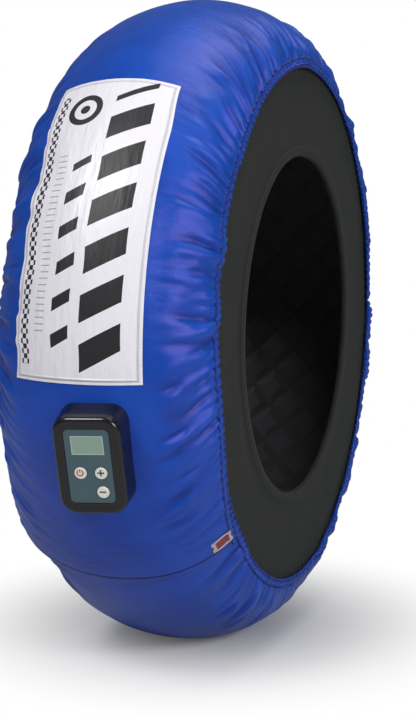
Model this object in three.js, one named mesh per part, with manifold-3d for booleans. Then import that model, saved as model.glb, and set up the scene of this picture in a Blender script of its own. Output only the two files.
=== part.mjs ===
// An electric tyre warmer for a motorcycle's rear wheel, in the shape that it has on the tyre.
// Millimetres, +Z up, the axle along Y. The origin is on the floor, straight below the axle.
// A heated band of four layers lies on the tread, and a stretch panel covers each sidewall.
// The band is a strip: its end, the tongue, laps over its start and is held by hook and loop.
import * as THREE from "three";
import { mergeVertices } from "three/addons/utils/BufferGeometryUtils.js";
import Module from "manifold-3d";

const wasm = await Module();
wasm.setup();

// Tyre that the warmer is cut for, with its crown's rounding.
const TYRE_RADIUS = 326;
const TYRE_CENTRE_RADIUS = 254; // where the round section's centre runs
const SECTION_HALF_WIDTH = 108.5; // half width of the whole warmer at the shoulders
const FLAT_DEPTH = 5.5; // how far the foot is pressed flat by the floor

// Layers of the band, from the tyre outwards, and the sewing gap between them.
const LAYER_GAP = 0.3;
const LINING_T = 1.2;
const HEATER_T = 1.2;
const BATTING_T = 8.4;
const COVER_T = 1.3;
const SHOULDER_TAPER = 3.8; // how much thinner the stack is where the lining ends

// Where each layer ends, as an angle round the section from the crown.
const SECTION_ANGLES = [0, 17, 34, 50, 63];
const HEM_ANGLE = 74.5; // the cover's hem stitching
const TONGUE_HEM_ANGLE = 68; // the tongue is cut narrower at its end

// Where things lie round the wheel, in degrees from the top towards the front.
const STRIP_START_ANGLE = 104.5;
const STRIP_STEPS = 104;
const TONGUE_END_ANGLE = 490; // 130 degrees, one turn on
const BAND_GAP_ANGLE = 1.2; // between the band's two ends
const FOOT_EASE = 0.4; // extra room between the layers where the foot is flat

// Gathers that the elastic draws into the cover.
const GATHER_DEPTHS = [0, 0, 0, 2, 3.6]; // at each section angle
const HEM_GATHER_DEPTH = 2.6;

// Hem casing and the elastic in it.
const CASING_WIDTH = 8;
const CASING_DEPTH = 5.6;
const ELASTIC_RADIUS = 1;
const ELASTIC_SIDES = 5;

// Sidewall panels of stretch fabric.
const PANEL_T = 3;
const PANEL_HOLE_RADIUS = 178;
const PANEL_FOLD_WIDTH = 12;
const PANEL_FACE_Y = 102.5;
const PANEL_EDGE_ANGLE = 64; // its margin is sewn on beside the lining
const PANEL_LAP_ANGLE = 8; // degrees that its end tucks under its start

// Closure at the tongue.
const HOOK_T = 1.1;
const HOOK_CELLS = [4, 6.5]; // steps of the strip that it covers
const RISE_START_ANGLE = 436;
const RISE_END_ANGLE = 461;
const CORNER_LIFT = 7; // the far corner stands off

// Printed label sewn on the cover.
const LABEL_T = 0.8;
const LABEL_ANGLES = [401.8, 453.3];
const LABEL_SECTION_ANGLES = [-31.8, 36];
const TAG_ANGLES = [487.3, 489];
const TAG_SECTION_ANGLES = [-54, -67];

// Controller on the tongue.
const BOX_ANGLE = 104.3;
const BOX_Y = -14.3;
const BOX_TILT_ANGLE = 8; // it follows the crown towards the near side
const BOX_WIDTH = 66;
const BOX_HEIGHT = 98;
const BOX_CORNER = 17;
const BOX_DRAFT = 2; // the front is this much smaller on each side
const BOX_WALL = 2.5;
const BOX_SEAT = 0.6; // clearance over the cover
const PARTING_Z = 19; // where front and rear case meet
const BEZEL_TOP_Z = 28;
const BEZEL_ROUND = 3.5;
const FACE_Z = 25.9; // face under the keypad overlay
const FACE_T = 2.5;
const OVERLAY_INSET_X = 12; // from the side of the box to the overlay
const OVERLAY_INSET_Y = 13;
const OVERLAY_CORNER = 4.5;
const OVERLAY_T = 0.5;
const FIT = 0.3; // clearance between pieces
const WINDOW_WIDTH = 30.4;
const WINDOW_HEIGHT = 18.4;
const WINDOW_INSET = 28.5; // from the top of the box to the window's middle
const WINDOW_T = 1.6;
const BUTTON_RADIUS = 5.7;
const BUTTON_FLANGE = 1;
const BUTTON_PROUD = 0.8;
const BUTTON_TRAVEL = 0.8;
const BUTTON_LEFT_X = -9;
const BUTTON_RIGHT_X = 10.2;
const BUTTON_UPPER_INSET = 42.4; // from the bottom of the box
const BUTTON_LOWER_INSET = 23.6;
const BOARD_T = 1.6;
const BOARD_Z = 12.6;
const SWITCH_SIZE = 6;
const BOSS_INSET_X = 15.4; // from the side of the box to its screws
const BOSS_INSET_Y = 16.4;
const BOSS_RADIUS = 3.2;
const SCREW_RADIUS = 1.2;
const SCREW_HEAD_RADIUS = 2.3;
const SCREW_HEAD_T = 1.5;
const MOUNT_INSET_X = 21;
const MOUNT_INSET_Y = 29;
const LEAD_RADIUS = 1.6;
const LEAD_INSET = 19; // from the top of the box
const PROBE_INSET = 13;
const TERMINAL_OFFSET = 8; // from the leads down to the terminal block
const RELAY_Y = -4;
const PLATE_INSET = 11; // how much smaller the backing plate is than the box
const GLAND_Z = 9.6; // cord gland in the lower wall
const GLAND_RADIUS = 4.2;
const GLAND_BORE = 2.8;
const GLAND_FLANGE_RADIUS = 5.6;
const GLAND_FLANGE_T = 2.5;
const GLAND_LENGTH = 5; // outside the wall
const GLAND_NUT_T = 2.5;
const CUT_REACH = 40; // cutting shapes end this far out, past every piece

// Sizes that follow from the ones above.
const OVERLAY_WIDTH = BOX_WIDTH - 2 * OVERLAY_INSET_X;
const OVERLAY_HEIGHT = BOX_HEIGHT - 2 * OVERLAY_INSET_Y;
const WINDOW_Y = BOX_HEIGHT / 2 - WINDOW_INSET;
const BUTTONS = {
  power_button: [BUTTON_LEFT_X, BUTTON_UPPER_INSET - BOX_HEIGHT / 2],
  plus_button: [BUTTON_RIGHT_X, BUTTON_UPPER_INSET - BOX_HEIGHT / 2],
  minus_button: [BUTTON_RIGHT_X, BUTTON_LOWER_INSET - BOX_HEIGHT / 2],
};
const STACK_T = LINING_T + HEATER_T + BATTING_T + COVER_T + 3 * LAYER_GAP;
const CROWN_RADIUS = TYRE_RADIUS + STACK_T;
const SECTION_HEIGHT = CROWN_RADIUS - TYRE_CENTRE_RADIUS;
const AXLE_HEIGHT = CROWN_RADIUS - FLAT_DEPTH;
const BATTING_OUT = COVER_T + LAYER_GAP;
const HEATER_OUT = BATTING_OUT + BATTING_T + LAYER_GAP;
const LINING_OUT = HEATER_OUT + HEATER_T + LAYER_GAP;
const TONGUE_RISE = COVER_T + 3 * LAYER_GAP + 2 * HOOK_T + 0.1;
const TONGUE_HEM_RISE = CASING_DEPTH + 2 * LAYER_GAP;
const RING_END = STRIP_START_ANGLE + 360 - BAND_GAP_ANGLE;
const STRIP_STEP = (TONGUE_END_ANGLE - STRIP_START_ANGLE) / STRIP_STEPS;
const ROUND_SIDES = 12;
const BOSS_X = BOX_WIDTH / 2 - BOSS_INSET_X;
const BOSS_Y = BOX_HEIGHT / 2 - BOSS_INSET_Y;
const MOUNT_X = BOX_WIDTH / 2 - MOUNT_INSET_X;
const MOUNT_Y = BOX_HEIGHT / 2 - MOUNT_INSET_Y;
const LEADS = {
  heater_lead_live: [-5, BOX_HEIGHT / 2 - LEAD_INSET],
  heater_lead_return: [5, BOX_HEIGHT / 2 - LEAD_INSET],
  temperature_probe: [-13, BOX_HEIGHT / 2 - PROBE_INSET],
};

const radians = THREE.MathUtils.degToRad;
const smooth = THREE.MathUtils.smoothstep;
const mix = THREE.MathUtils.lerp;

// Materials, with the photograph's colours.
const materials = {
  nylon: new THREE.MeshStandardMaterial({ color: 0x2a3fae, roughness: 0.45, metalness: 0 }),
  neoprene: new THREE.MeshStandardMaterial({ color: 0x24282a, roughness: 0.9, metalness: 0 }),
  batting: new THREE.MeshStandardMaterial({ color: 0xd8d4c8, roughness: 1, metalness: 0 }),
  heater: new THREE.MeshStandardMaterial({ color: 0x8a5a34, roughness: 0.6, metalness: 0.4 }),
  lining: new THREE.MeshStandardMaterial({ color: 0x1d1f22, roughness: 0.85, metalness: 0 }),
  elastic: new THREE.MeshStandardMaterial({ color: 0x1c1c1e, roughness: 0.8, metalness: 0 }),
  hook_loop: new THREE.MeshStandardMaterial({ color: 0x121214, roughness: 1, metalness: 0 }),
  label: new THREE.MeshStandardMaterial({ color: 0xdcd6de, roughness: 0.4, metalness: 0 }),
  tag: new THREE.MeshStandardMaterial({ color: 0xb98f8c, roughness: 0.8, metalness: 0 }),
  case: new THREE.MeshStandardMaterial({ color: 0x1b1b1c, roughness: 0.4, metalness: 0 }),
  overlay: new THREE.MeshStandardMaterial({ color: 0x3d5560, roughness: 0.5, metalness: 0 }),
  window: new THREE.MeshStandardMaterial({ color: 0x8aa596, roughness: 0.25, metalness: 0 }),
  button: new THREE.MeshStandardMaterial({ color: 0xcfd0c4, roughness: 0.5, metalness: 0 }),
  board: new THREE.MeshStandardMaterial({ color: 0x1f5a36, roughness: 0.6, metalness: 0 }),
  steel: new THREE.MeshStandardMaterial({ color: 0xa6a8aa, roughness: 0.35, metalness: 1 }),
};

const group = new THREE.Group();

// Adds a geometry to the model as a named sub-part.
function add(name, geometry, material, parent = group) {
  const mesh = new THREE.Mesh(geometry, material);
  mesh.name = name;
  parent.add(mesh);
  return mesh;
}

// A closed mesh from its points and triangles, turned so that its faces point out.
function closedMesh(points, triangles) {
  let volume = 0;
  const [a, b, c] = [0, 1, 2].map(() => new THREE.Vector3());
  for (const [i, j, k] of triangles) {
    volume += a.copy(points[i]).dot(b.copy(points[j]).cross(c.copy(points[k])));
  }
  const index = triangles.flatMap(([i, j, k]) => (volume < 0 ? [i, k, j] : [i, j, k]));
  const geometry = new THREE.BufferGeometry().setFromPoints(points);
  geometry.setIndex(index);
  geometry.computeVertexNormals();
  return geometry;
}

// A solid lofted through sections that all have the same number of points.
function loft(sections) {
  const count = sections[0].length;
  const points = sections.flat();
  const triangles = [];
  for (let i = 0; i + 1 < sections.length; i++) {
    for (let j = 0; j < count; j++) {
      const a = i * count + j;
      const b = i * count + ((j + 1) % count);
      const [c, d] = [a + count, b + count];
      const falling = points[b].distanceTo(points[c]) < points[a].distanceTo(points[d]) + 1e-6;
      triangles.push(...(falling ? [[a, b, c], [b, d, c]] : [[a, b, d], [a, d, c]]));
    }
  }
  const last = (sections.length - 1) * count;
  for (const [i, j, k] of capOf(sections[0])) triangles.push([i, k, j]);
  for (const [i, j, k] of capOf(sections.at(-1))) triangles.push([last + i, last + j, last + k]);
  return closedMesh(points, triangles);
}

// Triangles that close a flat section, in the order of its own points.
function capOf(section) {
  const origin = section[0];
  const normal = new THREE.Vector3();
  section.forEach((p, i) => normal.add(p.clone().cross(section[(i + 1) % section.length])));
  normal.normalize();
  const across = section[1].clone().sub(origin).projectOnPlane(normal).normalize();
  const up = normal.clone().cross(across);
  const flat = section.map((p) => {
    const d = p.clone().sub(origin);
    return new THREE.Vector2(d.dot(across), d.dot(up));
  });
  return THREE.ShapeUtils.triangulateShape(flat, []);
}

// manifold-3d solids from geometries and back.
function solidOf(geometry) {
  const bare = geometry.clone();
  bare.deleteAttribute("normal");
  bare.deleteAttribute("uv");
  const merged = mergeVertices(bare, 1e-4);
  return new wasm.Manifold(
    new wasm.Mesh({
      numProp: 3,
      vertProperties: merged.attributes.position.array,
      triVerts: new Uint32Array(merged.index.array),
    }),
  );
}

function geometryOf(solid) {
  const mesh = solid.getMesh();
  const geometry = new THREE.BufferGeometry();
  geometry.setAttribute("position", new THREE.BufferAttribute(mesh.vertProperties, 3));
  geometry.setIndex(new THREE.BufferAttribute(mesh.triVerts, 1));
  geometry.computeVertexNormals();
  return geometry;
}

function cut(geometry, ...tools) {
  return geometryOf(tools.reduce((s, tool) => s.subtract(solidOf(tool)), solidOf(geometry)));
}

function join(geometry, ...others) {
  return geometryOf(others.reduce((s, other) => s.add(solidOf(other)), solidOf(geometry)));
}

// The section: t runs round the tyre's crown in degrees, positive on the far side.
// depth is how far inside the cover's outer face a point lies.
function sectionPoint(t, depth) {
  const a = radians(t);
  return {
    y: (SECTION_HALF_WIDTH - depth) * Math.sin(a),
    r: TYRE_CENTRE_RADIUS + (SECTION_HEIGHT - depth) * Math.cos(a),
  };
}

// A point of the wheel's cylinder coordinates in the part's frame, lifted off the floor where
// the foot is flat. footRadius is the cover's own radius in the same place.
function wheelPoint(angle, y, r, footRadius = 0, ease = 0) {
  const a = radians(angle);
  const lift = Math.max(0, ease - AXLE_HEIGHT - footRadius * Math.cos(a));
  return new THREE.Vector3(-r * Math.sin(a), y, AXLE_HEIGHT + r * Math.cos(a) + lift);
}

function layerPoint(angle, t, depth, ease = 0) {
  const { y, r } = sectionPoint(t, depth);
  return wheelPoint(angle, y, r, sectionPoint(t, 0).r, ease);
}

// Depth of the lining's outer face: the stack grows thinner past the heated width.
function liningDepth(t) {
  return LINING_OUT - SHOULDER_TAPER * smooth(Math.abs(t), SECTION_ANGLES[3], SECTION_ANGLES[4]);
}

// How far the tongue stands over the strip's start.
function tongueRise(angle, t) {
  const along = smooth(angle, RISE_START_ANGLE, RISE_END_ANGLE);
  const toHem = smooth(Math.abs(t), SECTION_ANGLES[4], TONGUE_HEM_ANGLE);
  const corner = smooth(angle, STRIP_START_ANGLE + 360, TONGUE_END_ANGLE) * smooth(t, SECTION_ANGLES[2], HEM_ANGLE);
  return along * mix(TONGUE_RISE, TONGUE_HEM_RISE, toHem) + CORNER_LIFT * corner;
}

// The hem runs nearer the crown towards the tongue's end.
function hemAngle(angle) {
  return mix(HEM_ANGLE, TONGUE_HEM_ANGLE, smooth(angle, RISE_END_ANGLE, TONGUE_END_ANGLE));
}

// Height of the gathers at a step of the strip: every other step is a ridge.
function gatherHeight(step, index) {
  const angle = STRIP_START_ANGLE + step * STRIP_STEP;
  const depth = index < GATHER_DEPTHS.length ? GATHER_DEPTHS[index] : HEM_GATHER_DEPTH;
  const free = smooth(angle, TONGUE_END_ANGLE - 358, TONGUE_END_ANGLE - 350) * (1 - 0.6 * smooth(angle, 440, 465));
  const varied = 0.75 + 0.25 * Math.sin(2.4 * step);
  return step % 2 ? depth * free * varied : 0;
}

// Outer face of the cover at a step of the strip. index counts the section angles.
function coverPoint(step, index, side, depth) {
  const angle = STRIP_START_ANGLE + step * STRIP_STEP;
  const t = side * (index < SECTION_ANGLES.length ? SECTION_ANGLES[index] : hemAngle(angle));
  const rise = tongueRise(angle, t) + (depth > 0 ? 0 : gatherHeight(step, index));
  return layerPoint(angle, t, depth - rise);
}

// A point of the hem casing: along runs from the stitching to its folded edge.
function casingPoint(angle, side, along, depth, gather = 0) {
  const t = hemAngle(angle);
  const a = radians(t);
  const rise = tongueRise(angle, side * t) + gather;
  const { y, r } = sectionPoint(t, depth - rise);
  const tangent = new THREE.Vector2(
    SECTION_HALF_WIDTH * Math.cos(a),
    -SECTION_HEIGHT * Math.sin(a),
  ).normalize();
  return wheelPoint(angle, side * (y + tangent.x * along), r + tangent.y * along);
}

// Index and side of each point across the cover, from the near hem to the far one.
const ACROSS = [5, 4, 3, 2, 1].map((i) => [i, -1]).concat([0, 1, 2, 3, 4, 5].map((i) => [i, 1]));

function casingSection(step, side) {
  const angle = STRIP_START_ANGLE + step * STRIP_STEP;
  const ruffle = 0.5 * gatherHeight(step, SECTION_ANGLES.length);
  return [
    casingPoint(angle, side, CASING_WIDTH - 0.6, 0, ruffle),
    casingPoint(angle, side, CASING_WIDTH, CASING_DEPTH / 2),
    casingPoint(angle, side, CASING_WIDTH - 1, CASING_DEPTH),
    casingPoint(angle, side, 1.5, CASING_DEPTH),
    casingPoint(angle, side, 1.5, CASING_DEPTH - 1),
    casingPoint(angle, side, CASING_WIDTH - 1.4, CASING_DEPTH - 1.4),
    casingPoint(angle, side, CASING_WIDTH - 1.4, COVER_T),
  ];
}

function coverSection(step) {
  const outer = ACROSS.map(([i, side]) => coverPoint(step, i, side, 0));
  const inner = ACROSS.map(([i, side]) => coverPoint(step, i, side, COVER_T));
  return [
    ...outer,
    ...casingSection(step, 1),
    ...inner.reverse(),
    ...casingSection(step, -1).reverse(),
  ];
}

function steps(from, to) {
  return Array.from({ length: to - from + 1 }, (_, i) => from + i);
}

// Point on the cover's faceted face between its steps, at a height over it.
function onCover(angle, t, height) {
  const place = (angle - STRIP_START_ANGLE) / STRIP_STEP;
  const step = Math.min(Math.floor(place + 1e-9), STRIP_STEPS - 1);
  const size = Math.abs(t);
  const grid = [...SECTION_ANGLES, hemAngle(angle)];
  const index = Math.min(grid.findLastIndex((v) => v <= size + 1e-9), grid.length - 2);
  const across = (size - grid[index]) / (grid[index + 1] - grid[index]);
  const side = Math.sign(t) || 1;
  const face = (s, i) => coverPoint(s, i, side, height < 0 ? -height : 0);
  const rows = [step, step + 1].map((s) => face(s, index).lerp(face(s, index + 1), across));
  const point = rows[0].lerp(rows[1], place - step);
  return height > 0 ? point.addScaledVector(coverNormal(angle, t), height) : point;
}

// Outward direction of the cover.
function coverNormal(angle, t) {
  const a = radians(angle);
  const s = radians(t);
  const out = new THREE.Vector2(SECTION_HALF_WIDTH * Math.cos(s), SECTION_HEIGHT * Math.sin(s)).normalize();
  return new THREE.Vector3(-out.x * Math.sin(a), out.y, out.x * Math.cos(a));
}

// A sheet that lies on the cover, or under it where the heights are negative.
function patch(angles, sections, low, high) {
  const inside = steps(0, STRIP_STEPS)
    .map((s) => STRIP_START_ANGLE + s * STRIP_STEP)
    .filter((a) => a > angles[0] + 0.2 && a < angles[1] - 0.2);
  const grid = [...SECTION_ANGLES.slice(1).map((v) => -v), ...SECTION_ANGLES];
  const [first, last] = [Math.min(...sections), Math.max(...sections)];
  const between = grid.filter((v) => v > first + 0.5 && v < last - 0.5).sort((a, b) => a - b);
  const across = [first, ...between, last];
  return loft(
    [angles[0], ...inside, angles[1]].map((angle) => [
      ...across.map((t) => onCover(angle, t, high)),
      ...across.toReversed().map((t) => onCover(angle, t, low)),
    ]),
  );
}

// Layers inside the cover take every other step of it, so that their facets lie parallel.
const ringAngles = [0.16, ...steps(1, STRIP_STEPS / 2).map((i) => 2 * i)]
  .map((step) => STRIP_START_ANGLE + step * STRIP_STEP)
  .filter((angle) => angle < RING_END - 1)
  .concat(RING_END);

function ringLayer(sections, outer, thickness, ease) {
  return loft(
    ringAngles.map((angle) => [
      ...sections.map((t) => layerPoint(angle, t, outer(t), ease)),
      ...sections.toReversed().map((t) => layerPoint(angle, t, outer(t) + thickness, ease)),
    ]),
  );
}

function mirrored(angles) {
  return [...angles.slice(1).map((v) => -v).reverse(), ...angles];
}

// A round bar along a local Z, for pins, holes and heads.
function bar(radius, z0, z1, sides = ROUND_SIDES) {
  const geometry = new THREE.CylinderGeometry(radius, radius, z1 - z0, sides);
  return geometry.rotateX(Math.PI / 2).translate(0, 0, (z0 + z1) / 2);
}

function block(width, height, z0, z1, x = 0, y = 0) {
  return new THREE.BoxGeometry(width, height, z1 - z0).translate(x, y, (z0 + z1) / 2);
}

// A plate with round corners, lofted through outlines so that its sides can slope.
function roundedOutline(width, height, corner, z) {
  const points = [];
  const centres = [[1, 1], [-1, 1], [-1, -1], [1, -1]];
  const arc = 5;
  centres.forEach(([sx, sy], quarter) => {
    for (let i = 0; i <= arc; i++) {
      const a = (Math.PI / 2) * (quarter + i / arc);
      const x = sx * (width / 2 - corner) + corner * Math.cos(a);
      const y = sy * (height / 2 - corner) + corner * Math.sin(a);
      points.push(new THREE.Vector3(x, y, z));
    }
  });
  return points;
}

function roundedPlate(width, height, corner, levels) {
  return loft(levels.map(([z, inset]) =>
    roundedOutline(width - 2 * inset, height - 2 * inset, Math.max(corner - inset, 0.5), z)));
}

// The controller's own frame: X to the right, Y up and Z out of the cover.
const boxFrame = new THREE.Group();
const boxNormal = new THREE.Vector3(-Math.sin(radians(BOX_ANGLE)), 0, Math.cos(radians(BOX_ANGLE)));
const boxUp = new THREE.Vector3(Math.cos(radians(BOX_ANGLE)), 0, Math.sin(radians(BOX_ANGLE)));
const boxRight = new THREE.Vector3(0, -1, 0);
boxRight.applyAxisAngle(boxUp, radians(BOX_TILT_ANGLE));
boxNormal.applyAxisAngle(boxUp, radians(BOX_TILT_ANGLE));
boxFrame.quaternion.setFromRotationMatrix(
  new THREE.Matrix4().makeBasis(boxRight, boxUp, boxNormal),
);
const boxSection = -THREE.MathUtils.radToDeg(Math.asin(-BOX_Y / SECTION_HALF_WIDTH));
boxFrame.position.copy(onCover(BOX_ANGLE + 360, boxSection, FIT));
boxFrame.updateMatrix();
group.add(boxFrame);

function inBox(geometry) {
  return geometry.clone().applyMatrix4(boxFrame.matrix);
}

function intoBox(geometry) {
  return geometry.clone().applyMatrix4(boxFrame.matrix.clone().invert());
}

const bossPlaces = [[-BOSS_X, BOSS_Y], [BOSS_X, BOSS_Y], [-BOSS_X, -BOSS_Y], [BOSS_X, -BOSS_Y]];
const mountPlaces = [[-MOUNT_X, MOUNT_Y], [MOUNT_X, MOUNT_Y], [-MOUNT_X, -MOUNT_Y], [MOUNT_X, -MOUNT_Y]];
const leadHoles = Object.values(LEADS).map(([x, y]) =>
  bar(LEAD_RADIUS + FIT, -22, 8, 8).translate(x, y, 0));
const mountHoles = mountPlaces.map(([x, y]) =>
  bar(SCREW_RADIUS + FIT, -12, 10, 8).translate(x, y, 0));

// Soft layers, from the outside in.
const cover = loft(steps(0, STRIP_STEPS).map(coverSection));
add("outer_cover", cut(cover, ...mountHoles.map(inBox), ...leadHoles.map(inBox)), materials.nylon);
add(
  "insulation_batting",
  cut(
    ringLayer(mirrored(SECTION_ANGLES.slice(0, 4)), () => BATTING_OUT, BATTING_T, FOOT_EASE),
    ...leadHoles.map(inBox),
  ),
  materials.batting,
);
add(
  "heating_element",
  ringLayer(mirrored(SECTION_ANGLES.slice(0, 3)), () => HEATER_OUT, HEATER_T, 1.5 * FOOT_EASE),
  materials.heater,
);
add(
  "inner_lining",
  ringLayer(mirrored(SECTION_ANGLES), liningDepth, LINING_T, 2 * FOOT_EASE),
  materials.lining,
);

// Sidewall panels: each is a strip whose end tucks under its start.
function panelSection(angle, side) {
  const tuck = (PANEL_T + 2 * LAYER_GAP) * smooth(angle, RING_END - 12, RING_END - 1);
  const margin = sectionPoint(PANEL_EDGE_ANGLE, CASING_DEPTH + 1);
  const marginIn = sectionPoint(PANEL_EDGE_ANGLE, CASING_DEPTH + 1 + PANEL_T);
  const underHem = sectionPoint(HEM_ANGLE, CASING_DEPTH + 1);
  const fold = PANEL_HOLE_RADIUS + PANEL_FOLD_WIDTH;
  const face = PANEL_FACE_Y;
  const thin = PANEL_T / 2;
  const outline = [
    [margin.y, margin.r],
    [underHem.y, underHem.r],
    [face, underHem.r - 13],
    [face, fold + 2],
    [face + thin, fold],
    [face + thin, PANEL_HOLE_RADIUS + 1],
    [face - thin, PANEL_HOLE_RADIUS],
    [face - PANEL_T - thin, PANEL_HOLE_RADIUS + 1],
    [face - PANEL_T - thin, fold],
    [face - PANEL_T, fold + 2],
    [face - PANEL_T, underHem.r - 13],
    [underHem.y - PANEL_T, underHem.r - 1],
    [marginIn.y, marginIn.r],
  ];
  return outline.map(([y, r]) => wheelPoint(angle, side * (y - tuck), r));
}
for (const [name, side] of [["near_side_panel", -1], ["far_side_panel", 1]]) {
  const lap = [RING_END + 0.4, RING_END + PANEL_LAP_ANGLE];
  add(name, loft([...ringAngles, ...lap].map((angle) => panelSection(angle, side))), materials.neoprene);
}

// Elastic cords in the hem casings.
function hemElastic(side) {
  const sections = steps(0, STRIP_STEPS / 2).map((i) => {
    const step = THREE.MathUtils.clamp(2 * i, 0.2, STRIP_STEPS - 0.2);
    const angle = STRIP_START_ANGLE + step * STRIP_STEP;
    return Array.from({ length: ELASTIC_SIDES }, (_, k) => {
      const a = (2 * Math.PI * k) / ELASTIC_SIDES;
      const along = CASING_WIDTH / 2 + ELASTIC_RADIUS * Math.cos(a);
      return casingPoint(angle, side, along, CASING_DEPTH / 2 + ELASTIC_RADIUS * Math.sin(a));
    });
  });
  return loft(sections);
}
add("near_hem_elastic", hemElastic(-1), materials.elastic);
add("far_hem_elastic", hemElastic(1), materials.elastic);

// Hook tape on the strip's start and loop tape inside the tongue.
const tapeAngles = HOOK_CELLS.map((cell) => STRIP_START_ANGLE + cell * STRIP_STEP);
const tongueAngles = HOOK_CELLS.map((cell) => STRIP_START_ANGLE + 360 + cell * STRIP_STEP);
const tapeSections = [-SECTION_ANGLES[3], SECTION_ANGLES[3]];
add("hook_tape", patch(tapeAngles, tapeSections, LAYER_GAP, LAYER_GAP + HOOK_T), materials.hook_loop);
add(
  "loop_tape",
  patch(tongueAngles, tapeSections, -(COVER_T + LAYER_GAP + HOOK_T), -(COVER_T + LAYER_GAP)),
  materials.hook_loop,
);

// Printed label and woven tag, sewn on.
add("printed_label", patch(LABEL_ANGLES, LABEL_SECTION_ANGLES, LAYER_GAP, LAYER_GAP + LABEL_T), materials.label);
add("woven_tag", patch(TAG_ANGLES, TAG_SECTION_ANGLES, LAYER_GAP, LAYER_GAP + LABEL_T), materials.tag);

// Controller: the rear case is scribed to the cover that it sits on.
const firstStep = Math.floor((BOX_ANGLE + 345 - STRIP_START_ANGLE) / STRIP_STEP);
const envelope = loft(steps(firstStep, STRIP_STEPS).map((step) => [
  ...ACROSS.map(([i, side]) => coverPoint(step, i, side, 0)),
  ...ACROSS.map(([i, side]) => coverPoint(step, i, side, CUT_REACH)).reverse(),
]));
const seat = intoBox(envelope).translate(0, 0, BOX_SEAT - FIT);
const bossHoles = bossPlaces.map(([x, y]) => bar(SCREW_RADIUS + FIT, 6, CUT_REACH, 8).translate(x, y, 0));
const floorTop = BOX_WALL + 1;
const wallY = BOX_HEIGHT / 2 - BOX_DRAFT / 2 + FIT; // outer face of the lower wall
const inWall = (geometry) => geometry.rotateX(Math.PI / 2).translate(0, -wallY, GLAND_Z);
const rearShell = cut(
  roundedPlate(BOX_WIDTH, BOX_HEIGHT, BOX_CORNER, [[-9, 0], [PARTING_Z, BOX_DRAFT / 2]]),
  roundedPlate(BOX_WIDTH - 2 * BOX_WALL, BOX_HEIGHT - 2 * BOX_WALL, BOX_CORNER - BOX_WALL,
    [[floorTop, BOX_DRAFT / 2], [PARTING_Z + 5, BOX_DRAFT / 2]]),
  roundedPlate(BOX_WIDTH - 2 * BOX_WALL, BOX_HEIGHT - 2 * BOX_WALL, BOX_CORNER - BOX_WALL,
    [[-30, 0], [floorTop - BOX_WALL, 0]]),
);
const rearCase = cut(
  join(
    rearShell,
    ...bossPlaces.map(([x, y]) => bar(BOSS_RADIUS, floorTop - 1, BOARD_Z - FIT, 8).translate(x, y, 0)),
  ),
  seat,
  ...bossHoles,
  ...mountHoles,
  ...leadHoles,
  inWall(bar(GLAND_RADIUS + FIT, -12, 5)),
);
add("rear_case", rearCase, materials.case, boxFrame);

const frontOuter = roundedPlate(BOX_WIDTH, BOX_HEIGHT, BOX_CORNER, [
  [PARTING_Z + FIT, BOX_DRAFT / 2],
  [BEZEL_TOP_Z - BEZEL_ROUND, BOX_DRAFT],
  [BEZEL_TOP_Z - BEZEL_ROUND * 0.3, BOX_DRAFT + BEZEL_ROUND * 0.3],
  [BEZEL_TOP_Z, BOX_DRAFT + BEZEL_ROUND],
]);
const recessWidth = OVERLAY_WIDTH + 2 * FIT;
const recessHeight = OVERLAY_HEIGHT + 2 * FIT;
const dish = 5; // the bezel slopes down to the overlay
const overlayFloor = FACE_Z + FIT;
const frontCase = cut(
  frontOuter,
  roundedPlate(recessWidth + 2 * dish, recessHeight + 2 * dish, OVERLAY_CORNER + dish,
    [[overlayFloor + OVERLAY_T, dish], [BEZEL_TOP_Z, 0], [BEZEL_TOP_Z + 2, 0]]),
  roundedPlate(recessWidth, recessHeight, OVERLAY_CORNER, [[FACE_Z, 0], [BEZEL_TOP_Z, 0]]),
  roundedPlate(BOX_WIDTH - 2 * BOX_WALL, BOX_HEIGHT - 2 * BOX_WALL, BOX_CORNER - BOX_WALL,
    [[PARTING_Z - 5, BOX_DRAFT], [FACE_Z - FACE_T, BOX_DRAFT]]),
  block(WINDOW_WIDTH + 2 * FIT, WINDOW_HEIGHT + 2 * FIT, 10, CUT_REACH, 0, WINDOW_Y),
  ...Object.values(BUTTONS).map(([x, y]) => bar(BUTTON_RADIUS + FIT, 10, CUT_REACH, 16).translate(x, y, 0)),
  ...bossPlaces.map(([x, y]) => bar(SCREW_RADIUS + FIT, 10, CUT_REACH, 8).translate(x, y, 0)),
  ...bossPlaces.map(([x, y]) => bar(SCREW_HEAD_RADIUS + FIT, FACE_Z - SCREW_HEAD_T - FIT, CUT_REACH, 8).translate(x, y, 0)),
);
add("front_case", frontCase, materials.case, boxFrame);

const overlay = cut(
  roundedPlate(OVERLAY_WIDTH, OVERLAY_HEIGHT, OVERLAY_CORNER,
    [[overlayFloor, 0], [overlayFloor + OVERLAY_T, 0]]),
  block(WINDOW_WIDTH + 2 * FIT, WINDOW_HEIGHT + 2 * FIT, 10, CUT_REACH, 0, WINDOW_Y),
  ...Object.values(BUTTONS).map(([x, y]) => bar(BUTTON_RADIUS + FIT, 10, CUT_REACH, 16).translate(x, y, 0)),
);
add("keypad_overlay", overlay, materials.overlay, boxFrame);

// Display: its clear window fills the cut-out, and the module stands on the board.
const boardTop = BOARD_Z + BOARD_T;
const windowLow = overlayFloor + OVERLAY_T - 0.2 - WINDOW_T;
add("display_window", block(WINDOW_WIDTH, WINDOW_HEIGHT, windowLow, windowLow + WINDOW_T, 0, WINDOW_Y),
  materials.window, boxFrame);
const moduleLow = block(WINDOW_WIDTH + 4, WINDOW_HEIGHT + 1, boardTop + FIT, FACE_Z - FACE_T - FIT, 0, WINDOW_Y);
const moduleHigh = block(WINDOW_WIDTH, WINDOW_HEIGHT, boardTop + 2, windowLow - FIT, 0, WINDOW_Y);
add("display_module", join(moduleLow, moduleHigh), materials.window, boxFrame);

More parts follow.
